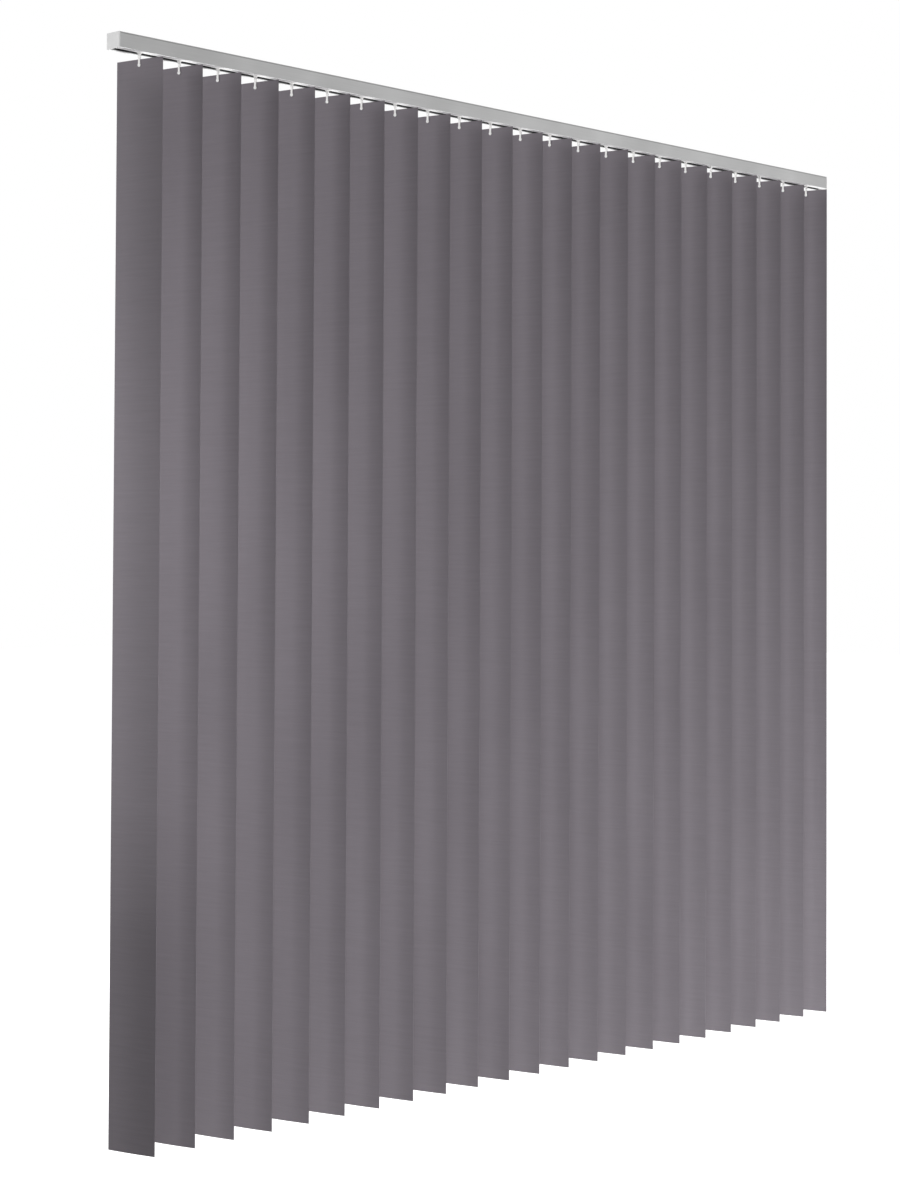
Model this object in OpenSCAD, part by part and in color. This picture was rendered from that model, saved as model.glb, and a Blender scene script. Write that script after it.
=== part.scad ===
// Vertical blind: fabric vanes on rolling carriers in an aluminium headrail.
// Millimetres. The origin is the centre of the headrail's top face.
// +X runs along the rail, -Y faces the room and +Z is up.

/* [Vanes] */
// Number of vanes, each with its own carrier
vane_count = 23; // [3:1:27]
// Spacing of the vanes along the rail
vane_pitch = 112; // [90:1:125]
// Width of a vane
vane_w = 127; // [70:1:140]
// Length of a vane
vane_l = 2360; // [600:10:3000]
// Thickness of the stiffened fabric
vane_t = 0.7; // [0.4:0.1:1]
// Drop from the underside of the rail to the top of a vane
vane_drop = 12.5; // [9:0.5:25]
// Angle between the vanes and the rail
vane_angle = 78; // [10:1:170]
// Distance from each end of the blind to its first vane's axis
end_margin = 73; // [68:1:150]

/* [Headrail] */
// Depth of the rail from front to back
rail_d = 42; // [40:1:60]
// Height of the rail
rail_h = 35; // [34:1:60]
// Wall of the rail
rail_wall = 1.5; // [1.2:0.1:2]
// Radius of the rail's long edges
rail_edge_r = 1; // [0.5:0.1:1.4]
// Width of the slot along the underside
slot_w = 12; // [10:0.5:13]
// Height of the ribs beside the slot
guide_rib_h = 1.5; // [1:0.1:2]
// Thickness of the ribs beside the slot
guide_rib_t = 1.2; // [0.8:0.1:1.4]
// Height of the lip that the ceiling clips hook over
clip_lip_h = 1.4; // [1.2:0.1:2]
// Height of the clip grooves below that lip
clip_groove_h = 2.4; // [1.5:0.1:3]
// Depth of the clip grooves
clip_groove_d = 1.2; // [0.6:0.1:1.4]

/* [End caps] */
// Thickness of an end cap's plate
cap_t = 3; // [2:0.5:5]
// Length of the plug inside the rail
plug_l = 14; // [10:1:25]
// Wall of the plug
plug_wall = 1.8; // [1.2:0.1:2.5]
// Height of the plug
plug_h = 24; // [22:0.5:25]

/* [Carriers] */
// Length of a carrier along the rail
carrier_l = 16; // [15.5:0.1:17]
// Width of the truck between its rollers
truck_w = 17.2; // [16.5:0.1:18]
// Height of a carrier above the floor of the rail
carrier_h = 23.5; // [22:0.1:24]
// Diameter of the rollers
roller_d = 7.6; // [6.5:0.1:7.6]
// Width of the rollers
roller_w = 4; // [3:0.1:4.3]
// Diameter of the roller axles
axle_d = 2.4; // [1.8:0.1:3]
// Spacing of the carriers when the vanes are drawn aside
stack_pitch = 18; // [17.5:0.5:25]
// Thickness of the spacer tongues
tongue_t = 0.4; // [0.3:0.05:0.5]
// Width of the spacer tongues
tongue_w = 6; // [4:0.5:7]

/* [Hanger stems] */
// Diameter of the stem's shank
shank_d = 7; // [6:0.1:7.4]
// Diameter of the worm wheel on top of the stem
wheel_d = 11.2; // [9.5:0.1:11.4]
// Height of the worm wheel
wheel_h = 11; // [8:0.5:12]
// Number of teeth on the worm wheel
wheel_teeth = 12; // [8:1:16]
// Thickness of each leg of the fork
leg_t = 1.4; // [1:0.1:1.5]
// Width of the legs above the tip
leg_w = 5.5; // [4:0.1:6]
// Diameter of the rounded tip of the front leg
tip_d = 8; // [6:0.1:9]
// Length of the front leg below the top of the vane
front_leg_l = 16.5; // [14:0.5:22]
// Length of the back leg below the top of the vane
back_leg_l = 11; // [10:0.5:13]
// Distance from the top of a vane to the hole that it hangs by
hole_drop = 6; // [4.5:0.1:6.5]
// Width of that hole
hole_w = 3.8; // [3:0.1:4]
// Height of that hole
hole_h = 3.2; // [2.4:0.1:3.4]

/* [Tilt rod] */
// Diameter of the fluted rod
rod_d = 6; // [5:0.1:6.2]
// Diameter of the rod's end journals
journal_d = 5; // [3.5:0.1:5.5]
// Distance of the rod behind the stems
rod_offset = 9.6; // [9.5:0.1:10.4]
// Height of the rod above the floor of the rail
rod_height = 15.5; // [15:0.1:16.5]

/* [Fits] */
// Radial clearance of turning fits
run_fit = 0.1; // [0.05:0.01:0.1]
// Gap between sliding or loosely nested pieces
slide_gap = 0.3; // [0.2:0.05:0.4]
// Gap between a vane and the legs that hold it
vane_gap = 0.15; // [0.1:0.05:0.2]

/* [Hidden] */
$fn = 48;

aluminium = [0.68, 0.68, 0.69];
cap_grey = [0.83, 0.83, 0.83];
white_plastic = [0.93, 0.93, 0.92];
vane_grey = [0.42, 0.40, 0.42];

// Lengths along the rail
span = (vane_count - 1) * vane_pitch;
blind_l = span + 2 * end_margin;
rail_l = blind_l - 2 * cap_t;

// Heights in the rail
floor_z = rail_wall - rail_h;
rib_top_z = floor_z + guide_rib_h;
ceiling_z = -rail_wall;
hollow_d = rail_d - 2 * rail_wall;
haunch_t = rail_wall;
haunch_h = clip_lip_h + clip_groove_h + rail_wall;

// Truck of a carrier
truck_bottom_z = rib_top_z + slide_gap;
truck_top_z = floor_z + carrier_h;
shelf_clear = 1;
shelf_z = floor_z + roller_d + shelf_clear;
roller_z = floor_z + roller_d / 2 + run_fit / 2;
roller_x = roller_d / 2 + slide_gap / 2;
roller_y = truck_w / 2 + slide_gap + roller_w / 2;
axle_head_d = axle_d + 1;
axle_head_t = 0.6;
neck_play = 0.6;
neck_d = slot_w - 2 * neck_play;
neck_drop = 0.4;
neck_bottom_z = -rail_h + neck_drop;

// Worm wheel pocket and tilt rod
pocket_d = wheel_d + 4 * run_fit;
pocket_floor_z = shelf_z + 0.5;
wheel_z = pocket_floor_z + run_fit;
rod_y = rod_offset;
rod_z = floor_z + rod_height;
rod_hole_d = rod_d + 2 * slide_gap;
rod_wall = 2.2;
flute_count = 3;
flute_d = 1.8;
journal_l = plug_l - 4;
rod_shoulder_gap = 0.5;
rod_body_l = rail_l - 2 * plug_l - 2 * rod_shoulder_gap;
boss_wall = 2.4;
boss_d = journal_d + 2 * run_fit + 2 * boss_wall;

// Spacer tongues climb just enough to lie on each other in the stack
tongue_slope = atan((tongue_t + 0.25) / stack_pitch);
tongue_root_l = 5;
tongue_root_h = 0.5;
tongue_y = rod_y;
tongue_z = truck_top_z + slide_gap;

// Fork of a stem
vane_top_z = -rail_h - vane_drop;
crotch_z = vane_top_z + 1.2;
fork_h = 3.8;
fork_top_z = crotch_z + fork_h;
fork_w = 6.2;
fork_blend = 1;
leg_face = vane_t / 2 + vane_gap;
tip_z = vane_top_z - front_leg_l + tip_d / 2;
button_t = 0.4;
barb_play = 0.3;
hole_top_z = vane_top_z - hole_drop;
barb_top_z = hole_top_z - run_fit;
barb_h = hole_h - barb_play - run_fit;
barb_w = hole_w - 2 * barb_play;
barb_root = 0.5;
tooth_gap_d = 1.6;

function two_digits(i) = i < 10 ? str("0", i) : str(i);
function carrier_name(i) = str("carrier_", two_digits(i));
function vane_name(i) = str("vane_", two_digits(i));
function station_x(i) = (i - 1) * vane_pitch - span / 2;

// Extrudes a section drawn in Y and Z along the rail, centred on X
module along_rail(length) {
    rotate([90, 0, 90])
        linear_extrude(height = length, center = true)
            children();
}

// Rectangle with round corners, centred in Y and hanging from its top edge
module hanging_plate(width, height, r) {
    translate([-width / 2 + r, -height])
        square([width - 2 * r, height]);
    translate([-width / 2, r - height])
        square([width, height - 2 * r]);
    for (side = [-1, 1], z = [-r, r - height])
        translate([side * (width / 2 - r), z])
            circle(r = r);
}

// Section of the rail: a box with clip grooves, a slot and two guide ribs
module rail_section() {
    difference() {
        hanging_plate(rail_d, rail_h, rail_edge_r);
        translate([-hollow_d / 2, floor_z])
            square([hollow_d, ceiling_z - floor_z - haunch_h]);
        translate([haunch_t - hollow_d / 2, floor_z])
            square([hollow_d - 2 * haunch_t, ceiling_z - floor_z]);
        translate([-slot_w / 2, -rail_h - rail_wall])
            square([slot_w, 3 * rail_wall]);
        for (side = [-1, 1])
            translate([side * rail_d / 2 - clip_groove_d, -clip_lip_h - clip_groove_h])
                square([2 * clip_groove_d, clip_groove_h]);
    }
    for (side = [-1, 1])
        translate([side * (slot_w + guide_rib_t) / 2 - guide_rib_t / 2, floor_z - rail_wall / 2])
            square([guide_rib_t, guide_rib_h + rail_wall / 2]);
}

module headrail() {
    color(aluminium)
        along_rail(rail_l)
            rail_section();
}

// End cap at the left end: plate, hollow plug and the bearing of the tilt rod
module end_cap() {
    plug_d = hollow_d - 2 * haunch_t - 2 * slide_gap;
    plug_top_z = ceiling_z - slide_gap;
    color(cap_grey)
        translate([-blind_l / 2, 0, 0])
            difference() {
                union() {
                    translate([cap_t / 2, 0, 0])
                        along_rail(cap_t)
                            hanging_plate(rail_d, rail_h, rail_edge_r);
                    translate([cap_t + plug_l / 2, 0, plug_top_z])
                        along_rail(plug_l)
                            difference() {
                                hanging_plate(plug_d, plug_h, rail_edge_r);
                                translate([0, -plug_wall])
                                    hanging_plate(plug_d - 2 * plug_wall, plug_h - 2 * plug_wall, rail_edge_r);
                            }
                    translate([cap_t / 2, rod_y, rod_z])
                        rotate([0, 90, 0])
                            cylinder(d = boss_d, h = cap_t / 2 + plug_l);
                }
                translate([cap_t + plug_l - journal_l - rod_shoulder_gap, rod_y, rod_z])
                    rotate([0, 90, 0])
                        cylinder(d = journal_d + 2 * run_fit, h = 2 * plug_l);
            }
}

module end_cap_left() {
    end_cap();
}

module end_cap_right() {
    mirror([1, 0, 0])
        end_cap();
}

// Fluted rod that turns every worm wheel, with plain journals at its ends
module tilt_rod() {
    color(aluminium)
        translate([0, rod_y, rod_z]) {
            along_rail(rod_body_l)
                difference() {
                    circle(d = rod_d);
                    for (k = [0:flute_count - 1])
                        rotate(k * 360 / flute_count)
                            translate([0, rod_d / 2])
                                circle(d = flute_d);
                }
            rotate([0, 90, 0])
                cylinder(d = journal_d, h = rod_body_l + 2 * journal_l, center = true);
        }
}

// Moulded truck with the stem's bearing, the worm wheel's pocket and the axles
module truck() {
    difference() {
        union() {
            translate([-carrier_l / 2, -truck_w / 2, truck_bottom_z])
                cube([carrier_l, truck_w, truck_top_z - truck_bottom_z]);
            translate([-carrier_l / 2, 0, shelf_z])
                cube([carrier_l, rod_y + rod_hole_d / 2 + rod_wall, truck_top_z - shelf_z]);
            translate([0, 0, neck_bottom_z])
                cylinder(d = neck_d, h = truck_bottom_z - neck_bottom_z + 1);
            for (x = [-roller_x, roller_x])
                translate([x, 0, roller_z])
                    rotate([90, 0, 0]) {
                        axle_half = roller_y + roller_w / 2 + slide_gap;
                        cylinder(d = axle_d, h = 2 * axle_half, center = true);
                        for (side = [0, 180])
                            rotate([0, side, 0])
                                translate([0, 0, axle_half])
                                    cylinder(d = axle_head_d, h = axle_head_t);
                    }
        }
        translate([0, 0, pocket_floor_z])
            cylinder(d = pocket_d, h = carrier_h);
        translate([0, 0, neck_bottom_z - 1])
            cylinder(d = shank_d + 2 * run_fit, h = carrier_h);
        translate([0, rod_y, rod_z])
            rotate([0, 90, 0])
                cylinder(d = rod_hole_d, h = 2 * carrier_l, center = true);
    }
}

module roller() {
    rotate([90, 0, 0])
        difference() {
            cylinder(d = roller_d, h = roller_w, center = true);
            cylinder(d = axle_d + 2 * run_fit, h = 2 * roller_w, center = true);
        }
}

// Flat tongue that reaches back to the carrier before it and keeps their spacing
module spacer_tongue() {
    rise = tan(tongue_slope);
    translate([0, tongue_y, 0])
        rotate([90, 0, 0])
            linear_extrude(height = tongue_w, center = true)
                polygon([
                    [0, truck_top_z - tongue_root_h],
                    [0, tongue_z + tongue_t],
                    [-vane_pitch, tongue_z + tongue_t + vane_pitch * rise],
                    [-vane_pitch, tongue_z + vane_pitch * rise],
                    [-tongue_root_l, tongue_z + tongue_root_l * rise],
                    [-tongue_root_l, truck_top_z - tongue_root_h]
                ]);
}

module carrier(i) {
    color(white_plastic)
        translate([station_x(i), 0, 0]) {
            union() {
                truck();
                if (i > 1)
                    spacer_tongue();
            }
            for (x = [-roller_x, roller_x], y = [-roller_y, roller_y])
                translate([x, y, roller_z])
                    roller();
        }
}

// Outline of a leg from the crotch down to its end
module leg_outline(end_z, end_d) {
    translate([-leg_w / 2, end_z])
        square([leg_w, crotch_z - end_z + fork_blend]);
    translate([0, end_z])
        circle(d = end_d);
}

// Leg of the fork, standing on the vane's face at the given side
module leg(side, end_z, end_d) {
    translate([0, side * (leg_face + leg_t / 2), 0])
        rotate([90, 0, 0])
            linear_extrude(height = leg_t, center = true)
                leg_outline(end_z, end_d);
}

// Stem with its worm wheel, shank, fork, tip button and the barb that carries the vane
module hanger_stem() {
    color(white_plastic)
        union() {
            translate([0, 0, wheel_z])
                difference() {
                    cylinder(d = wheel_d, h = wheel_h);
                    for (k = [0:wheel_teeth - 1])
                        rotate([0, 0, k * 360 / wheel_teeth])
                            translate([wheel_d / 2, 0, -1])
                                cylinder(d = tooth_gap_d, h = wheel_h + 2);
                }
            translate([0, 0, fork_top_z - fork_blend])
                cylinder(d = shank_d, h = wheel_z - fork_top_z + 2 * fork_blend);
            translate([-fork_w / 2, -leg_face - leg_t, crotch_z])
                cube([fork_w, 2 * (leg_face + leg_t), fork_h]);
            leg(-1, tip_z, tip_d);
            leg(1, vane_top_z - back_leg_l, leg_w - 0.4);
            translate([0, -leg_face - leg_t + 0.1, tip_z])
                rotate([90, 0, 0])
                    cylinder(d1 = tip_d - 0.6, d2 = tip_d - 2.4, h = button_t + 0.1);
            translate([-barb_w / 2, -leg_face + vane_gap, barb_top_z - barb_h])
                cube([barb_w, 2 * leg_face - vane_gap + barb_root, barb_h]);
        }
}

// Stiff fabric vane with the punched hole that the barb passes through
module fabric_vane() {
    color(vane_grey)
        difference() {
            translate([-vane_w / 2, -vane_t / 2, vane_top_z - vane_l])
                cube([vane_w, vane_t, vane_l]);
            translate([-hole_w / 2, -vane_t, hole_top_z - hole_h])
                cube([hole_w, 2 * vane_t, hole_h]);
        }
}

module vane(i) {
    translate([station_x(i), 0, 0])
        rotate([0, 0, -vane_angle]) {
            hanger_stem();
            fabric_vane();
        }
}

headrail();
end_cap_left();
end_cap_right();
tilt_rod();
for (i = [1:vane_count]) {
    carrier(i);
    vane(i);
}
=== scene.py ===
# %% [markdown]
# # A vertical blind in a white studio
# The imported frame is the working skeleton of the blind: the aluminium headrail, its two end caps, the tilt
# rod, the carriers that roll in the rail and, for each vane, one solid that holds the slat and the stem it
# hangs on. Everything that is added here is measured in metres in that same frame. Its origin is the middle
# of the headrail's top face, +X runs along the rail, -Y looks into the room and +Z is up. The box of the
# bare frame is kept, and the floor and the lamps are placed by it.

# %% Load the frame
import math

import bpy
import numpy as np
from mathutils import Matrix, Vector


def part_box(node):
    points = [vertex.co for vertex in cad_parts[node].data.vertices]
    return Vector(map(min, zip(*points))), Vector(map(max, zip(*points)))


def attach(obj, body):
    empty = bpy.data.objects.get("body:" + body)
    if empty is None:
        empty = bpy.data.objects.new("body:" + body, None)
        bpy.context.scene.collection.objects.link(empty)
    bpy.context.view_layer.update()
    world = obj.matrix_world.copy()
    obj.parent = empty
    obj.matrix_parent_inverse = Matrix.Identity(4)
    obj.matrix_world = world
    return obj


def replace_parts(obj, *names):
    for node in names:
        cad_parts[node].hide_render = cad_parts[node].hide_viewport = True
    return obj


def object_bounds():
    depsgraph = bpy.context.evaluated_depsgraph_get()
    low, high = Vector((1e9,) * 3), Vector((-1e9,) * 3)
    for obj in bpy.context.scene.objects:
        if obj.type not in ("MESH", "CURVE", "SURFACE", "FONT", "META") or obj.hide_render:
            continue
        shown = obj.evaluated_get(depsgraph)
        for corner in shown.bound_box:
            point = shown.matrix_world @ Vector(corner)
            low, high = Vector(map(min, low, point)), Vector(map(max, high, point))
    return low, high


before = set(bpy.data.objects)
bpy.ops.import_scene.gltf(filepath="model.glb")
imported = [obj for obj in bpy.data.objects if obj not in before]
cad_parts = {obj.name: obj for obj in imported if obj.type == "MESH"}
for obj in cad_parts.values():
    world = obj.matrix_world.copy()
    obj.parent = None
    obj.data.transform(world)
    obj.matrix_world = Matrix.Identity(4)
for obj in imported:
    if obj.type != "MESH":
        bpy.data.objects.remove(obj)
cad_low, cad_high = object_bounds()
scene = bpy.context.scene
scene.view_settings.view_transform = "Standard"
print("frame of", len(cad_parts), "nodes, box", cad_low[:], cad_high[:])

# %% [markdown]
# ## The camera
# The blind is seen from the room, from far enough to its left that the rail runs away to the right and
# nearly the whole face of every vane shows between its neighbours. A camera could be aimed by eye, but a
# view is easier to match when it is built from the numbers a surveyor would give: where it stands, how far
# it is turned to the right of straight on, how far it is tipped up and rolled, and its focal length counted
# in pixels of a 900 by 1200 picture. Keeping it nearly level and shifting the picture down a little keeps
# the upright edges of the vanes almost upright.

# %% Place the camera
IMAGE_HEIGHT = 1200
SENSOR_SIZE = 36.0
camera_place = Vector((-4.576, -4.150, -1.161))
camera_yaw = math.radians(46.177)
camera_pitch = math.radians(1.533)
camera_roll = math.radians(0.260)
focal_pixels = 2447.6
drop_pixels = 91.7


def camera_axes(yaw, pitch, roll):
    """Right, up and backward axes: turned right from +Y by yaw, tipped up by pitch, then rolled."""
    level = math.cos(pitch)
    forward = Vector((math.sin(yaw) * level, math.cos(yaw) * level, math.sin(pitch)))
    level_right = Vector((math.cos(yaw), -math.sin(yaw), 0))
    level_up = level_right.cross(forward)
    right = math.cos(roll) * level_right + math.sin(roll) * level_up
    up = math.cos(roll) * level_up - math.sin(roll) * level_right
    return right, up, -forward


lens = bpy.data.cameras.new("room_camera")
lens.sensor_width = SENSOR_SIZE
lens.lens = focal_pixels / IMAGE_HEIGHT * SENSOR_SIZE
lens.shift_y = -drop_pixels / IMAGE_HEIGHT
camera = bpy.data.objects.new("room_camera", lens)
camera_turn = Matrix(camera_axes(camera_yaw, camera_pitch, camera_roll)).transposed()
camera.matrix_world = Matrix.Translation(camera_place) @ camera_turn.to_4x4()
scene.collection.objects.link(camera)
scene.camera = camera
print("camera with a lens of", round(lens.lens, 2), "mm")

# %% [markdown]
# ## From arrays to pieces
# Every new piece is a surface worked out with numpy. One helper turns an array of points and a list of
# faces into an object, and another stretches a closed skin over a stack of rings, which is how most moulded
# shapes can be described. Blender's own primitives would need to be pushed and pulled into shape
# afterwards; a formula says the shape at once.

# %% Helpers that make pieces
MM = 0.001
SHARP_ANGLE = math.radians(32)


def add_piece(name, points, faces, roll_place=None):
    """Object from points that are in the frame already; roll_place is a flat place for each point."""
    mesh = bpy.data.meshes.new(name)
    mesh.from_pydata(points.tolist(), [], faces)
    if roll_place is not None:
        layer = mesh.uv_layers.new(name="roll_place")
        corners = np.empty(len(mesh.loops), dtype=np.int32)
        mesh.loops.foreach_get("vertex_index", corners)
        layer.data.foreach_set("uv", roll_place[corners].ravel())
    mesh.shade_smooth()
    mesh.set_sharp_from_angle(angle=SHARP_ANGLE)
    piece = bpy.data.objects.new(name, mesh)
    scene.collection.objects.link(piece)
    return piece


def loft_faces(ring_count, ring_size, start):
    """Faces of a closed skin: quads join each ring to the next, and one polygon closes each end."""
    ring = np.arange(ring_count - 1)[:, None] * ring_size
    below = ring + ring_size
    here = np.arange(ring_size)[None, :]
    after = (here + 1) % ring_size
    quads = np.stack([ring + here, below + here, below + after, ring + after], axis=-1)
    faces = (quads.reshape(-1, 4) + start).tolist()
    faces.append((np.arange(ring_size) + start).tolist())
    faces.append((np.arange(ring_size)[::-1] + start + (ring_count - 1) * ring_size).tolist())
    return faces


def full_turn(count):
    """Angles of one ring: a full turn in equal steps, as one row."""
    return np.linspace(0, 2 * math.pi, count, endpoint=False)[None, :]


def superellipse(half_x, half_y, power, angle):
    """Points (x, y) of a rounded box: cosine and sine raised to 2 / power, so 2 gives an ellipse."""
    bend = 2 / power
    x = half_x * np.sign(np.cos(angle)) * np.abs(np.cos(angle)) ** bend
    y = half_y * np.sign(np.sin(angle)) * np.abs(np.sin(angle)) ** bend
    return x, y


def smooth_step(low, high, value):
    """Soft switch from 0 at low to 1 at high: 3 s s - 2 s s s of the clipped share s."""
    share = np.clip((value - low) / (high - low), 0, 1)
    return share * share * (3 - 2 * share)


print("edges stay sharp from", round(math.degrees(SHARP_ANGLE)), "degrees")

# %% [markdown]
# ## Where the vanes hang
# All the vanes are alike. Each one turns about an upright axis under its carrier, and at rest all of them
# stand at the same angle to the rail. A vane or a stem is therefore worked out once, around its own axis,
# and then turned and carried to its station. The stations are read from the frame, and so is the level of
# the lower edge.

# %% Stations and sizes of the vanes
vane_names = sorted(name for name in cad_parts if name.startswith("vane_"))
vane_width = 127 * MM
vane_length = 2360 * MM
vane_thickness = 0.7 * MM
vane_angle = math.radians(78)
vane_boxes = {name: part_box(name) for name in vane_names}
stations = {name: (low.x + high.x) / 2 for name, (low, high) in vane_boxes.items()}
first_station = stations[vane_names[0]]
vane_top = vane_boxes[vane_names[0]][0].z + vane_length


def hang(points, station):
    """Turns points about the upright axis by the vanes' angle and carries them along the rail."""
    x, y, z = points[..., 0], points[..., 1], points[..., 2]
    along = x * math.cos(vane_angle) + y * math.sin(vane_angle) + station
    across = y * math.cos(vane_angle) - x * math.sin(vane_angle)
    return np.stack([along, across, z], axis=-1)


print(len(vane_names), "vanes, tops at", round(vane_top, 4), "m")

# %% [markdown]
# ## The vanes
# A vane is a strip of stiffened cloth that was wound off a roll, slit to width and cut to length, with a
# small hole punched near its top for the stem's barb. It could be a scaled cube, but cloth is never that
# flat. Here it is a thin sheet over a grid: across its width it is bowed by two millimetres, as a strip off
# a roll stays, and towards its free lower end it turns by a fraction of a degree, a little differently for
# each vane. The hole is a cell that is left out of the grid, and walls close the sheet wherever a kept cell
# meets an empty one. Each point also remembers its place on the roll in metres, which the weave is drawn on
# later.

# %% Shape of a vane
hole_width = 3.8 * MM
hole_height = 3.2 * MM
hole_drop = 6 * MM
vane_bow = 2.0 * MM
vane_twist = math.radians(0.45)
TWIST_GROWTH = 1.5
ROLL_STEP = 0.5
ROWS_BELOW_HOLE = 60
COLUMNS_EACH_SIDE = 10
random = np.random.default_rng(23)


def vane_grid():
    """Grid lines (across, down) that meet the edges of the hole, and the cells that are kept."""
    side = np.linspace(hole_width / 2, vane_width / 2, COLUMNS_EACH_SIDE)
    across = np.concatenate([-side[::-1], side])
    hole_bottom = hole_drop + hole_height
    down = np.concatenate([[0, hole_drop], np.linspace(hole_bottom, vane_length, ROWS_BELOW_HOLE)])
    kept = np.ones((len(down) - 1, len(across) - 1), dtype=bool)
    hole_row, hole_column = 1, COLUMNS_EACH_SIDE - 1
    kept[hole_row, hole_column] = False
    return across, down, kept


def vane_surface(across, down, twist):
    """Middle of the sheet: a parabola across, turned about the axis by a share that grows downwards."""
    x, fall = np.meshgrid(across, down)
    y = vane_bow * (2 * x / vane_width) ** 2
    turn = twist * (fall / vane_length) ** TWIST_GROWTH
    turned_x = x * np.cos(turn) - y * np.sin(turn)
    turned_y = x * np.sin(turn) + y * np.cos(turn)
    return np.stack([turned_x, turned_y, vane_top - fall], axis=-1)


def wall_quads(front, back, kept):
    """Walls: one quad on each grid edge between a kept cell and an empty one, facing the empty one."""
    framed = np.pad(kept, 1)
    left_edge = framed[1:-1, 1:] & ~framed[1:-1, :-1]
    right_edge = framed[1:-1, :-1] & ~framed[1:-1, 1:]
    top_edge = framed[1:, 1:-1] & ~framed[:-1, 1:-1]
    bottom_edge = framed[:-1, 1:-1] & ~framed[1:, 1:-1]
    upright = np.stack([front[:-1], back[:-1], back[1:], front[1:]], axis=-1)
    level = np.stack([front[:, :-1], front[:, 1:], back[:, 1:], back[:, :-1]], axis=-1)
    return np.concatenate([
        upright[left_edge],
        upright[right_edge][:, ::-1],
        level[top_edge],
        level[bottom_edge][:, ::-1],
    ])


def vane_piece(name, number, station):
    """Two faces half a thickness either side of the middle surface, without the hole, and the walls."""
    across, down, kept = vane_grid()
    middle = vane_surface(across, down, random.uniform(-vane_twist, vane_twist))
    half = np.array([0, vane_thickness / 2, 0])
    points = np.concatenate([(middle - half).reshape(-1, 3), (middle + half).reshape(-1, 3)])
    front = np.arange(middle.shape[0] * middle.shape[1]).reshape(middle.shape[:2])
    back = front + front.size
    cells = np.stack([front[:-1, :-1], front[1:, :-1], front[1:, 1:], front[:-1, 1:]], axis=-1)
    face = cells[kept]
    quads = np.concatenate([face, face[:, ::-1] + front.size, wall_quads(front, back, kept)])
    flat_across, flat_down = np.meshgrid(across + number * ROLL_STEP, down)
    roll_place = np.tile(np.stack([flat_across, flat_down], axis=-1).reshape(-1, 2), (2, 1))
    piece_name = name.replace("vane", "vane_cloth")
    return add_piece(piece_name, hang(points, station), quads.tolist(), roll_place)


vanes = {
    name: vane_piece(name, number, stations[name])
    for number, name in enumerate(vane_names, start=1)
}
print(len(vanes), "vanes of", len(vanes[vane_names[0]].data.polygons), "faces each")

# %% [markdown]
# ## The hanger stems
# Each stem is one white moulding. A toothed wheel sits inside the carrier, where a worm turns it, a round
# shank comes down through the slot of the rail, and below the rail it flattens into a fork. The front leg
# is longer and ends in a round button that a thumb can find; the back leg is shorter and has the barb that
# goes through the vane's hole. Wheel, shank and shoulder are one stack of rings whose outline changes with
# height from a toothed circle to a rounded box. The legs are stacks of thin rounded boxes, as wide as the
# leg is at each height.

# %% Sizes of a stem
wheel_top, wheel_bottom = -13.3 * MM, -24.3 * MM
wheel_radius, tooth_depth, tooth_count = 5.6 * MM, 0.8 * MM, 12
shank_radius = 3.5 * MM
fork_top, crotch = vane_top + 5.0 * MM, vane_top + 1.2 * MM
fork_half_width, fork_half_depth = 3.1 * MM, 1.9 * MM
leg_inner, leg_thickness, leg_half_width = 0.5 * MM, 1.4 * MM, 2.75 * MM
leg_root = crotch + 1 * MM
tip_radius, button_rise = 4.0 * MM, 0.4 * MM
tip_centre = vane_top - 16.5 * MM + tip_radius
back_tip_radius = 2.55 * MM
back_tip_centre = vane_top - 11 * MM
barb_half_width, barb_half_height = 1.6 * MM, 1.4 * MM
barb_clearance = 0.1 * MM
barb_centre = vane_top - hole_drop - barb_clearance - barb_half_height
STEM_RING = 96
LEG_RING = 40
ROUND_POWER, LEG_POWER, SHOULDER_POWER = 2, 4, 5
print("stem from", round(wheel_top, 4), "down to", round(tip_centre - tip_radius, 4), "m")

# %% Shape of a stem
edge_height, bevel_depth = 0.5 * MM, 0.4 * MM
shank_end = fork_top + 1.5 * MM
blend_start, blend_end = fork_top + 1.2 * MM, fork_top - 0.6 * MM
BLEND_RINGS = 7
HAIR = 1e-9
disc_start, disc_end = math.radians(-42), math.radians(86)
DISC_RINGS = 15
dome_reach = 0.85
thin_from, thinnest = 0.5, 0.35
barb_depths = np.array([-0.30, -0.15, 0.4, 1.0])[:, None] * MM
barb_tapers = np.array([0.7, 0.95, 1.0, 1.0])[:, None]


def stem_rings():
    """Rings of wheel, shank and shoulder: size, teeth and roundness all follow the height."""
    heights = np.concatenate([
        [wheel_top, wheel_top - edge_height, wheel_bottom + edge_height, wheel_bottom],
        [wheel_bottom - edge_height, shank_end],
        np.linspace(blend_start, blend_end, BLEND_RINGS),
        [crotch + edge_height, crotch],
    ])[:, None]
    angle = full_turn(STEM_RING)
    on_wheel = heights >= wheel_bottom - HAIR
    bevel = np.isin(heights, [wheel_top, wheel_bottom, crotch]) * bevel_depth
    to_fork = 1 - smooth_step(blend_end, blend_start, heights)
    below_x = shank_radius + to_fork * (fork_half_width - shank_radius)
    below_y = shank_radius + to_fork * (fork_half_depth - shank_radius)
    half_x = np.where(on_wheel, wheel_radius, below_x) - bevel
    half_y = np.where(on_wheel, wheel_radius, below_y) - bevel
    power = ROUND_POWER + (SHOULDER_POWER - ROUND_POWER) * to_fork
    x, y = superellipse(half_x, half_y, power, angle)
    groove = tooth_depth * (0.5 + 0.5 * np.cos(tooth_count * angle)) ** 2
    shrink = 1 - np.where(on_wheel, groove, 0) / wheel_radius
    return np.stack(np.broadcast_arrays(x * shrink, y * shrink, heights), axis=-1)


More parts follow.
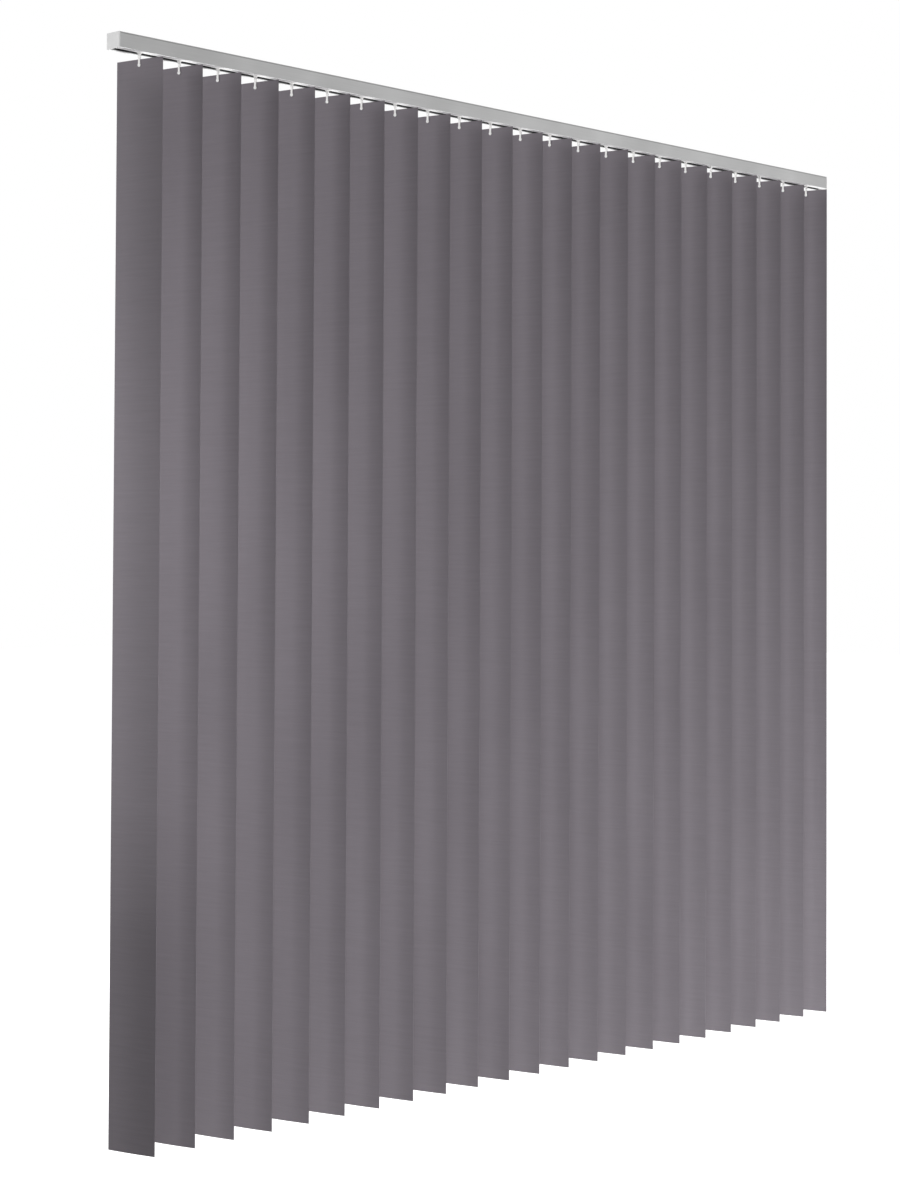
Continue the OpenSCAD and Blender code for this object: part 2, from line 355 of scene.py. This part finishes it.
def leg_rings(side, centre, radius, rise):
    """Rings down a leg: as wide as the leg or the disc of its tip, thicker outwards by a dome on the disc."""
    disc = np.linspace(disc_start, disc_end, DISC_RINGS)
    upper = [leg_root, (crotch + centre) / 2]
    heights = np.concatenate([upper, centre - radius * np.sin(disc)])[:, None]
    off_centre = np.clip((heights - centre) / radius, -1, 1)
    on_disc = radius * np.sqrt(1 - off_centre ** 2)
    half_width = np.where(heights > centre, np.maximum(leg_half_width, on_disc), on_disc)
    dome = rise * np.clip(1 - (off_centre / dome_reach) ** 2, 0, 1)
    full_depth = (leg_thickness + dome) / 2
    thinned = full_depth * np.clip(on_disc / (thin_from * radius), thinnest, 1)
    half_depth = np.where(heights > centre, full_depth, thinned)
    x, y = superellipse(half_width, half_depth, LEG_POWER, full_turn(LEG_RING))
    y = y + side * (leg_inner + half_depth)
    return np.stack(np.broadcast_arrays(x, y, heights), axis=-1)


def barb_rings():
    """Rings of the barb through the vane: a rounded box that tapers to the front face of the cloth."""
    half_x, half_z = barb_half_width * barb_tapers, barb_half_height * barb_tapers
    x, z = superellipse(half_x, half_z, LEG_POWER, full_turn(LEG_RING))
    return np.stack(np.broadcast_arrays(x, barb_depths, z + barb_centre), axis=-1)


def stem_piece(name, station):
    """One mesh of closed shells, each a loft: wheel and shank, front leg, back leg, barb."""
    shells = [
        stem_rings(),
        leg_rings(-1, tip_centre, tip_radius, button_rise),
        leg_rings(1, back_tip_centre, back_tip_radius, 0),
        barb_rings(),
    ]
    starts = np.cumsum([0] + [shell.shape[0] * shell.shape[1] for shell in shells]).tolist()
    skins = [loft_faces(*shell.shape[:2], start) for shell, start in zip(shells, starts)]
    points = np.concatenate([shell.reshape(-1, 3) for shell in shells])
    return add_piece(name.replace("vane", "hanger_stem"), hang(points, station), sum(skins, []))


stems = {name: stem_piece(name, stations[name]) for name in vane_names}
print(len(stems), "stems of", len(stems[vane_names[0]].data.polygons), "faces each")

# %% [markdown]
# ## Tools for finishes
# A finish is a small network of nodes. Writing each node out by hand is long, so one helper adds a node,
# sets its inputs and links any input that is given as the output of another node. Others do arithmetic,
# noise and mixes of colours. Effects that serve several finishes are node groups with named inputs and
# outputs; the shaders themselves stay in the materials.

# %% Helpers that build node networks
def add_node(tree, kind, inputs=None, **settings):
    """One node: settings are its own properties, and an input that is an output socket gets a link."""
    node = tree.nodes.new(kind)
    for key, value in settings.items():
        setattr(node, key, value)
    for key, value in (inputs or {}).items():
        if isinstance(value, bpy.types.NodeSocket):
            tree.links.new(value, node.inputs[key])
        else:
            node.inputs[key].default_value = value
    return node


def maths(tree, operation, *values):
    """Output of one arithmetic node."""
    return add_node(tree, "ShaderNodeMath", dict(enumerate(values)), operation=operation).outputs[0]


def share_between(tree, value, low, high, new_low=0.0, new_high=1.0):
    """Output of one map-range node, held between its new limits."""
    limits = {"Value": value, "From Min": low, "From Max": high, "To Min": new_low, "To Max": new_high}
    return add_node(tree, "ShaderNodeMapRange", limits, clamp=True).outputs[0]


def noise(tree, place, scale, detail, roughness=0.5):
    """Output of one noise node with so many cells per unit of place."""
    inputs = {"Vector": place, "Scale": scale, "Detail": detail, "Roughness": roughness}
    return add_node(tree, "ShaderNodeTexNoise", inputs).outputs["Fac"]


def between_colours(tree, share, first, second):
    """Output of one colour mix."""
    inputs = {"Factor": share, "A": first, "B": second}
    node = tree.nodes.new("ShaderNodeMix")
    node.data_type = "RGBA"
    colour_inputs = {socket.name: socket for socket in node.inputs if socket.enabled}
    for key, value in inputs.items():
        if isinstance(value, bpy.types.NodeSocket):
            tree.links.new(value, colour_inputs[key])
        else:
            colour_inputs[key].default_value = value
    return next(socket for socket in node.outputs if socket.enabled)


def object_place(tree):
    """Place on the piece in metres of the frame, because every piece sits at the origin."""
    return add_node(tree, "ShaderNodeTexCoord").outputs["Object"]


def bare_material(name):
    """A material with an empty network, and the network itself."""
    material = bpy.data.materials.new(name)
    material.use_nodes = True
    material.node_tree.nodes.clear()
    return material, material.node_tree


def new_finish(name):
    """A material with only a Principled shader in its network, the network and the shader."""
    finish, tree = bare_material(name)
    shader = add_node(tree, "ShaderNodeBsdfPrincipled")
    add_node(tree, "ShaderNodeOutputMaterial", {"Surface": shader.outputs[0]})
    return finish, tree, shader


def set_relief(tree, shader, height, strength, distance):
    """Lifts the shader's surface by a bump of that height."""
    inputs = {"Height": height, "Strength": strength, "Distance": distance}
    tree.links.new(add_node(tree, "ShaderNodeBump", inputs).outputs[0], shader.inputs["Normal"])


def grey(level, warm=0.0):
    """Linear colour of an even grey, a little redder or bluer."""
    return (level * (1 + warm), level, level * (1 - warm), 1.0)


print("a middle grey is", grey(0.5))

# %% [markdown]
# ## Two effects that several finishes share
# Drawn and brushed aluminium has fine lines along its length: noise that is stretched a hundredfold along
# the rail. A moulded plastic has an almost even tone and a fine spark-eroded grain: noise at two scales.
# Each is a group with a few named numbers, so that the rail and the rod, or the cap and the stems, can use
# it with their own values.

# %% Node groups
DRIFT_CELLS = 5.0
line_numbers = {"Lines along": 6.0, "Lines across": 900.0}
grain_numbers = {"Grains": 2500.0, "Clouds": 60.0}


def new_group(name, inputs, outputs):
    """An empty node group with float inputs and outputs of the given names, and its two end nodes."""
    tree = bpy.data.node_groups.new(name, "ShaderNodeTree")
    tree.interface.new_socket("Place", in_out="INPUT", socket_type="NodeSocketVector")
    for socket_name, value in inputs.items():
        socket = tree.interface.new_socket(socket_name, in_out="INPUT", socket_type="NodeSocketFloat")
        socket.default_value = value
    for socket_name in outputs:
        tree.interface.new_socket(socket_name, in_out="OUTPUT", socket_type="NodeSocketFloat")
    given = tree.nodes.new("NodeGroupInput").outputs
    return tree, given, tree.nodes.new("NodeGroupOutput").inputs


def drawn_lines_group():
    """Noise on (x along, y across, z across), with many more lines across than along."""
    tree, given, result = new_group("drawn_lines", line_numbers, ["Line", "Drift"])
    across = given["Lines across"]
    cells = add_node(tree, "ShaderNodeCombineXYZ", {"X": given["Lines along"], "Y": across, "Z": across})
    factors = {0: given["Place"], 1: cells.outputs[0]}
    scaled = add_node(tree, "ShaderNodeVectorMath", factors, operation="MULTIPLY").outputs[0]
    tree.links.new(noise(tree, scaled, 1.0, detail=3.0, roughness=0.6), result["Line"])
    tree.links.new(noise(tree, given["Place"], DRIFT_CELLS, detail=2.0), result["Drift"])
    return tree


def moulded_grain_group():
    """A fine noise for the grain of the mould and a broad one for the drift of tone."""
    tree, given, result = new_group("moulded_grain", grain_numbers, ["Grain", "Cloud"])
    tree.links.new(noise(tree, given["Place"], given["Grains"], detail=2.0), result["Grain"])
    tree.links.new(noise(tree, given["Place"], given["Clouds"], detail=2.0), result["Cloud"])
    return tree


drawn_lines = drawn_lines_group()
moulded_grain = moulded_grain_group()
print("groups", drawn_lines.name, moulded_grain.name)

# %% [markdown]
# ## Finish of the vanes
# The cloth is a dull plain weave in a warm, slightly violet grey, stiffened with resin. Its look comes from
# three scales. Close to, the threads cross: a product of two sine waves, one across and one down. A step
# away, weft threads of uneven thickness make faint level streaks: noise that is stretched across the vane.
# Over a metre the dye drifts a little, and each vane comes from another place on the roll. The slit edges
# are sealed and a touch darker. All of it is drawn on the place on the roll in metres, so it keeps its
# scale and turns with the vane.

# %% Woven cloth
warp_pitch = 0.8 * MM
weft_pitch = 0.9 * MM
cloth_dark = (0.156, 0.142, 0.158, 1.0)
cloth_light = (0.223, 0.204, 0.225, 1.0)
thread_weight, fine_weight, coarse_weight, dye_weight = 0.30, 0.40, 0.35, 0.60
tone_low, tone_high = 0.325, 1.325
edge_colour = (0.06, 0.055, 0.06, 1.0)
edge_strength = 0.15
sealed_edge, sealed_core = 1.0 * MM, 0.3 * MM
edge_start, edge_full = vane_width / 2 - sealed_edge, vane_width / 2 - sealed_core
thread_relief, fine_relief = 0.15 * MM, 0.8
dull_gap, dull_thread = 0.92, 0.80


def streaks(tree, place, across, down, detail):
    """Noise with so many cells per metre across the vane and down it."""
    scaled = add_node(tree, "ShaderNodeMapping", {"Vector": place, "Scale": (across, down, 1.0)})
    return noise(tree, scaled.outputs[0], 1.0, detail)


def woven_cloth():
    """Tone: weighted sum of crossing threads, two bands of streaks and dye; height: threads and streaks."""
    finish, tree, shader = new_finish("woven_cloth")
    place = add_node(tree, "ShaderNodeUVMap", uv_map="roll_place").outputs[0]
    parts = add_node(tree, "ShaderNodeSeparateXYZ", {0: place}).outputs
    warp = maths(tree, "SINE", maths(tree, "MULTIPLY", parts["X"], math.pi / warp_pitch))
    weft = maths(tree, "SINE", maths(tree, "MULTIPLY", parts["Y"], math.pi / weft_pitch))
    threads = maths(tree, "MULTIPLY_ADD", maths(tree, "MULTIPLY", warp, weft), 0.5, 0.5)
    fine = streaks(tree, place, across=14.0, down=420.0, detail=3.0)
    coarse = streaks(tree, place, across=7.0, down=130.0, detail=2.0)
    dye = streaks(tree, place, across=3.1, down=1.6, detail=1.0)
    tone = maths(tree, "MULTIPLY", threads, thread_weight)
    tone = maths(tree, "MULTIPLY_ADD", fine, fine_weight, tone)
    tone = maths(tree, "MULTIPLY_ADD", coarse, coarse_weight, tone)
    tone = maths(tree, "MULTIPLY_ADD", dye, dye_weight, tone)
    tone = share_between(tree, tone, tone_low, tone_high)
    colour = between_colours(tree, tone, cloth_dark, cloth_light)
    on_vane = maths(tree, "WRAP", parts["X"], ROLL_STEP / 2, -ROLL_STEP / 2)
    from_middle = maths(tree, "ABSOLUTE", on_vane)
    slit = share_between(tree, from_middle, edge_start, edge_full, 0.0, edge_strength)
    colour = between_colours(tree, slit, colour, edge_colour)
    tree.links.new(colour, shader.inputs["Base Color"])
    height = maths(tree, "MULTIPLY_ADD", fine, fine_relief, threads)
    set_relief(tree, shader, height, strength=0.35, distance=thread_relief)
    rough = share_between(tree, threads, 0.0, 1.0, dull_gap, dull_thread)
    tree.links.new(rough, shader.inputs["Roughness"])
    shader.inputs["Specular IOR Level"].default_value = 0.2
    shader.inputs["Sheen Weight"].default_value = 0.06
    shader.inputs["Sheen Roughness"].default_value = 0.5
    return finish


cloth = woven_cloth()
print("finish", cloth.name, "with", len(cloth.node_tree.nodes), "nodes")

# %% [markdown]
# ## Finishes of the metal
# The headrail is extruded aluminium, brushed along its length and anodised to a satin silver; the tilt rod
# is drawn bar of the same metal, a little brighter. Both are a metallic Principled shader. The lines vary
# the tone and the roughness and lift the surface by a few micrometres, which smears reflections along the
# rail as on the real extrusion.

# %% Drawn aluminium
drift_share, line_share = 0.6, 0.4
bar_tones = (0.36, 0.64)
noise_range = (0.3, 0.7)
line_roughness = 0.06
line_relief = 0.03 * MM


def drawn_aluminium(name, dark, light, lines_across, roughness):
    """Metal whose tone, roughness and height follow the drawn lines, with a broad drift of tone."""
    finish, tree, shader = new_finish(name)
    group = add_node(tree, "ShaderNodeGroup", node_tree=drawn_lines)
    tree.links.new(object_place(tree), group.inputs["Place"])
    group.inputs["Lines across"].default_value = lines_across
    line, drift = group.outputs["Line"], group.outputs["Drift"]
    tone = maths(tree, "MULTIPLY_ADD", drift, drift_share, maths(tree, "MULTIPLY", line, line_share))
    colour = between_colours(tree, share_between(tree, tone, *bar_tones), dark, light)
    tree.links.new(colour, shader.inputs["Base Color"])
    smoothest, roughest = roughness - line_roughness, roughness + line_roughness
    rough = share_between(tree, line, *noise_range, smoothest, roughest)
    tree.links.new(rough, shader.inputs["Roughness"])
    set_relief(tree, shader, line, strength=0.25, distance=line_relief)
    shader.inputs["Metallic"].default_value = 1.0
    return finish


rail_metal = drawn_aluminium("brushed_rail", grey(0.50), grey(0.62), lines_across=900.0, roughness=0.42)
rod_metal = drawn_aluminium("drawn_rod", grey(0.70), grey(0.80), lines_across=1500.0, roughness=0.32)
print("finishes", rail_metal.name, rod_metal.name)

# %% [markdown]
# ## Painted light and shade on the rail's section
# The parts of the extrusion's section catch the light differently, and seen from the room each is only a
# pixel or two high, so that light and shade is painted into the metal's colour. The underside and the lowest
# edge get a bright painted highlight, the clip grooves a grey painted shade, and the inside of the channel
# and a strip along the rear edge of the slot a near-black painted shadow. They could be separate pieces, but
# the rail is one mesh in the frame, which stays as it is. So the painted tone follows the place in the
# section: each comparison of a depth or a level with a size of the rail puts out 0 or 1, and mixes one tone
# in.

# %% Painted light and shade by place
rail_low, rail_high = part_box("headrail")
rail_half_depth = (rail_high.y - rail_low.y) / 2
rail_height = rail_high.z - rail_low.z
rail_wall = 1.5 * MM
slot_half_width = 6 * MM
# Width of the painted shadow along the rear edge of the slot, which widens the dark line under the rail.
slot_shadow_width = 7 * MM
lower_edge = 1.1 * MM
face_margin, groove_margin, channel_margin = 0.3 * MM, 0.5 * MM, 0.1 * MM
# A painted highlight: the underside and the lowest edge are coloured far lighter than the rest of the rail,
# for the floor light they mirror.
painted_underside_highlight = grey(0.90)
# A painted shade for the clip grooves, coloured darker where shade falls in them.
painted_groove_shade = grey(0.42)
# A near-black painted shadow for the inside of the channel and the strip behind the slot.
painted_shadow_tone = grey(0.07)


def paint_section_light_and_shade(finish):
    """Mixes in painted light: underside highlight, then strip shadow, groove shade and channel shadow, in
    that order.
    """
    tree = finish.node_tree
    shader = next(node for node in tree.nodes if node.type == "BSDF_PRINCIPLED")
    parts = add_node(tree, "ShaderNodeSeparateXYZ", {0: object_place(tree)}).outputs
    depth = maths(tree, "ABSOLUTE", parts["Y"])
    level = maths(tree, "ABSOLUTE", maths(tree, "ADD", parts["Z"], rail_height / 2))
    inside = maths(tree, "LESS_THAN", level, rail_height / 2 - face_margin)
    behind_face = maths(tree, "LESS_THAN", depth, rail_half_depth - groove_margin)
    behind_wall = maths(tree, "LESS_THAN", depth, rail_half_depth - rail_wall + channel_margin)
    underneath = maths(tree, "LESS_THAN", parts["Z"], lower_edge - rail_height)
    from_slot_shadow = maths(tree, "SUBTRACT", parts["Y"], slot_half_width + slot_shadow_width / 2)
    near_slot_shadow = maths(tree, "LESS_THAN", maths(tree, "ABSOLUTE", from_slot_shadow), slot_shadow_width / 2)
    on_slot_shadow = maths(tree, "MULTIPLY", underneath, near_slot_shadow)
    in_groove = maths(tree, "MULTIPLY", inside, behind_face)
    in_channel = maths(tree, "MULTIPLY", inside, behind_wall)
    colour = shader.inputs["Base Color"].links[0].from_socket
    # These mixes paint light and shade into the metal: the underside highlight, the shadow on the strip
    # behind the slot, the shade in the grooves and the shadow in the channel.
    colour = between_colours(tree, underneath, colour, painted_underside_highlight)
    colour = between_colours(tree, on_slot_shadow, colour, painted_shadow_tone)
    colour = between_colours(tree, in_groove, colour, painted_groove_shade)
    colour = between_colours(tree, in_channel, colour, painted_shadow_tone)
    tree.links.new(colour, shader.inputs["Base Color"])


paint_section_light_and_shade(rail_metal)
print("rail section", round(2 * rail_half_depth, 4), "by", round(rail_height, 4), "m")

# %% [markdown]
# ## Finishes of the plastic
# The end caps are moulded in a light grey that sits next to the satin metal. Carriers and stems are white
# acetal, which is slippery and slightly glossy. Both use the moulded grain: the caps with a coarser, duller
# grain than the stems.

# %% Moulded plastic
grain_roughness = 0.05
grain_relief = 0.05 * MM


def moulded_plastic(name, dark, light, grains, roughness, lift):
    """Plastic whose tone follows the clouds and whose height and roughness follow the grain."""
    finish, tree, shader = new_finish(name)
    group = add_node(tree, "ShaderNodeGroup", node_tree=moulded_grain)
    tree.links.new(object_place(tree), group.inputs["Place"])
    group.inputs["Grains"].default_value = grains
    grain, cloud = group.outputs["Grain"], group.outputs["Cloud"]
    colour = between_colours(tree, share_between(tree, cloud, *noise_range), dark, light)
    tree.links.new(colour, shader.inputs["Base Color"])
    smoothest, roughest = roughness - grain_roughness, roughness + grain_roughness
    rough = share_between(tree, grain, *noise_range, smoothest, roughest)
    tree.links.new(rough, shader.inputs["Roughness"])
    set_relief(tree, shader, grain, strength=lift, distance=grain_relief)
    shader.inputs["Specular IOR Level"].default_value = 0.4
    return finish


cap_plastic = moulded_plastic(
    "cap_plastic", grey(0.77), grey(0.81), grains=1800.0, roughness=0.55, lift=0.3,
)
white_plastic = moulded_plastic(
    "white_plastic", grey(0.88, warm=0.01), grey(0.92, warm=0.01), grains=3000.0, roughness=0.38, lift=0.15,
)
print("finishes", cap_plastic.name, white_plastic.name)

# %% [markdown]
# ## Dressing the blind
# The rigid pieces keep their CAD meshes and only receive a finish. Each vane's solid is replaced by two
# pieces: the cloth and the stem it hangs on. Both ride on the same body, so they turn and travel together.

# %% Give every piece its finish and its body
def give_finish(piece, finish):
    """Makes the finish the only material of a piece."""
    piece.data.materials.clear()
    piece.data.materials.append(finish)


for node_name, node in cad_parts.items():
    if node_name == "headrail":
        give_finish(node, rail_metal)
    elif node_name == "tilt_rod":
        give_finish(node, rod_metal)
    elif node_name.startswith("end_cap"):
        give_finish(node, cap_plastic)
    elif node_name.startswith("carrier"):
        give_finish(node, white_plastic)

for name in vane_names:
    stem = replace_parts(stems[name], name)
    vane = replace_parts(vanes[name], name)
    give_finish(stem, white_plastic)
    give_finish(vane, cloth)
    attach(stem, name)
    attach(vane, name)

# %% [markdown]
# ## Floor and world
# The blind hangs in an even white studio. The floor is a pale sheet well below the vanes. White could come
# from strong lamps, but they would burn out the blind as well. Instead the floor and the world ask what
# kind of ray meets them: to the camera, to reflections and to anything seen through glass they glow white,
# and to dull surfaces the floor is only pale and the world only a soft fill.

# %% Floor
floor_drop = 0.45
floor_level = cad_low.z - floor_drop
floor_reach = 40.0
floor_tone, floor_glow = 0.82, 0.82


def seen_ray(tree):
    """1 for rays from the camera, from a reflection or through glass, and 0 for soft light."""
    path = add_node(tree, "ShaderNodeLightPath").outputs
    either = maths(tree, "MAXIMUM", path["Is Camera Ray"], path["Is Glossy Ray"])
    return maths(tree, "MAXIMUM", either, path["Is Transmission Ray"])


def studio_floor():
    """Flat square far wider than the view, dull white, with a glow that only seen rays meet."""
    corner = np.array([[-1, -1, 0], [1, -1, 0], [1, 1, 0], [-1, 1, 0]]) * floor_reach
    floor = add_piece("studio_floor", corner + np.array([0, 0, floor_level]), [[0, 1, 2, 3]])
    paint, tree = bare_material("floor_paint")
    dull = add_node(tree, "ShaderNodeBsdfDiffuse", {"Color": grey(floor_tone)})
    strength = maths(tree, "MULTIPLY", seen_ray(tree), floor_glow)
    glow = add_node(tree, "ShaderNodeEmission", {"Color": grey(1.0), "Strength": strength})
    both = add_node(tree, "ShaderNodeAddShader", {0: dull.outputs[0], 1: glow.outputs[0]})
    add_node(tree, "ShaderNodeOutputMaterial", {"Surface": both.outputs[0]})
    floor.data.materials.append(paint)
    return floor


floor = studio_floor()
print(floor.name, "at", round(floor_level, 3), "m")

# %% World
fill_strength = 0.25


def white_world():
    """World that is white to seen rays and a weaker fill to soft light."""
    world = bpy.data.worlds.new("white_studio")
    world.use_nodes = True
    tree = world.node_tree
    tree.nodes.clear()
    strength = share_between(tree, seen_ray(tree), 0.0, 1.0, fill_strength, 1.0)
    sky = add_node(tree, "ShaderNodeBackground", {"Color": grey(1.0), "Strength": strength})
    add_node(tree, "ShaderNodeOutputWorld", {"Surface": sky.outputs[0]})
    return world


scene.world = white_world()
print("world fill", fill_strength)

# %% [markdown]
# ## Lamps
# One broad lamp would light the vanes, but not tell them apart. A far lamp behind the blind on the left
# reaches the rear part of each face past its neighbour, so every vane is lighter at its rear edge and
# darker towards the room. A soft lamp in the room, low on the left, fills the faces, and one behind the
# blind lights the backs, as a window would. A small lamp behind the left end lifts the first vanes at half
# height, and two low lamps in front lift the lower right corner. Satin metal turns white where it mirrors a
# lamp, so only the two low lamps are left in reflections, where they brighten the underside of the rail.

# %% Make the lamps
blind_middle = (cad_low + cad_high) / 2
side_bearing, side_rise, side_spread = math.radians(142), math.radians(4), math.radians(16)
left_place, left_aim = (-1.6, 0.45, -0.95), (-1.12, 0.0, -0.95)
mirrored_lamps = ("floor_lamp", "corner_lamp")


def soft_lamp(name, place, aim, size, power):
    """Square area lamp at a place, turned to its aim."""
    light = bpy.data.lights.new(name, "AREA")
    light.size = size
    light.energy = power
    lamp = bpy.data.objects.new(name, light)
    toward = Vector(aim) - Vector(place)
    turn = toward.to_track_quat("-Z", "Y").to_matrix().to_4x4()
    lamp.matrix_world = Matrix.Translation(Vector(place)) @ turn
    lamp.visible_camera = False
    scene.collection.objects.link(lamp)
    return lamp


def far_lamp(name, bearing, rise, spread, strength):
    """Lamp so far away that its light is even: bearing counts from +X to +Y, spread softens shadows."""
    light = bpy.data.lights.new(name, "SUN")
    light.angle = spread
    light.energy = strength
    lamp = bpy.data.objects.new(name, light)
    source = Vector((math.cos(bearing), math.sin(bearing), math.tan(rise)))
    lamp.matrix_world = source.to_track_quat("Z", "Y").to_matrix().to_4x4()
    scene.collection.objects.link(lamp)
    return lamp


lamps = [
    far_lamp("side_lamp", side_bearing, side_rise, side_spread, strength=1.90),
    soft_lamp("room_lamp", (-2.4, -2.4, -2.1), blind_middle, size=1.2, power=41.5),
    soft_lamp("window_lamp", (2.0, 5.0, 1.2), blind_middle, size=2.0, power=190.0),
    soft_lamp("left_lamp", left_place, left_aim, size=0.4, power=1.7),
    soft_lamp("floor_lamp", (0.0, -1.7, -2.65), blind_middle, size=1.2, power=30.0),
    soft_lamp("corner_lamp", (0.9, -0.9, -2.6), blind_middle, size=1.2, power=15.0),
]
for lamp in lamps:
    lamp.visible_glossy = lamp.name in mirrored_lamps
print("lamps", [lamp.name for lamp in lamps])

# %% [markdown]
# ## Cards
# A photographer shapes light with cards as well as with lamps, and the camera doesn't see them. A long card
# in front of the blind, which glows more towards its right end, is what the front of the rail mirrors, so
# the rail is darker at its left end. A black card, called a flag, keeps the far lamp off the first vane,
# which has no neighbour to shade it. A low flag keeps the room lamp off the lower left corner.

# %% Make the cards
card_dark, card_light = 0.08, 0.85
card_grade = (1.8, 3.0)
card_left, card_right, card_top = (-2.0, -7.4), (14.0, -5.0), 4.0
flag_distance, flag_shift, flag_width, flag_top = 0.45, 0.025, 0.5, -0.06
low_flag_left, low_flag_right, low_flag_top = (-1.82, -0.48), (-1.42, -0.48), -1.88
flag_tone, flag_roughness = 0.02, 0.9


def upright_card(name, first, second, top, paint):
    """Upright rectangle on the floor between two places (x, y), which the camera itself does not see."""
    corner = np.array([[*first, floor_level], [*second, floor_level], [*second, top], [*first, top]])
    card = add_piece(name, corner, [[0, 1, 2, 3]])
    card.data.materials.append(paint)
    card.visible_camera = False
    return card


def graded_glow():
    """Paint that glows more and more along +X, as a card that is lit from its far end."""
    paint, tree = bare_material("card_paint")
    along = add_node(tree, "ShaderNodeSeparateXYZ", {0: object_place(tree)}).outputs["X"]
    strength = share_between(tree, along, *card_grade, card_dark, card_light)
    glow = add_node(tree, "ShaderNodeEmission", {"Color": grey(1.0), "Strength": strength})
    add_node(tree, "ShaderNodeOutputMaterial", {"Surface": glow.outputs[0]})
    return paint


def black_paint():
    """Dull black paint."""
    paint, _, shader = new_finish("flag_paint")
    shader.inputs["Base Color"].default_value = grey(flag_tone)
    shader.inputs["Roughness"].default_value = flag_roughness
    return paint


grey_card = upright_card("grey_card", card_left, card_right, card_top, graded_glow())
grey_card.visible_shadow = False
to_lamp = np.array([math.cos(side_bearing), math.sin(side_bearing)])
beside = np.array([-to_lamp[1], to_lamp[0]])
flag_edge = np.array([first_station, 0.0]) + flag_distance * to_lamp + flag_shift * beside
flag_end = flag_edge + flag_width * beside
flag_paint = black_paint()
flags = [
    upright_card("side_flag", flag_edge.tolist(), flag_end.tolist(), flag_top, flag_paint),
    upright_card("low_flag", low_flag_left, low_flag_right, low_flag_top, flag_paint),
]
for flag in flags:
    flag.visible_glossy = False
print("cards", grey_card.name, [flag.name for flag in flags])
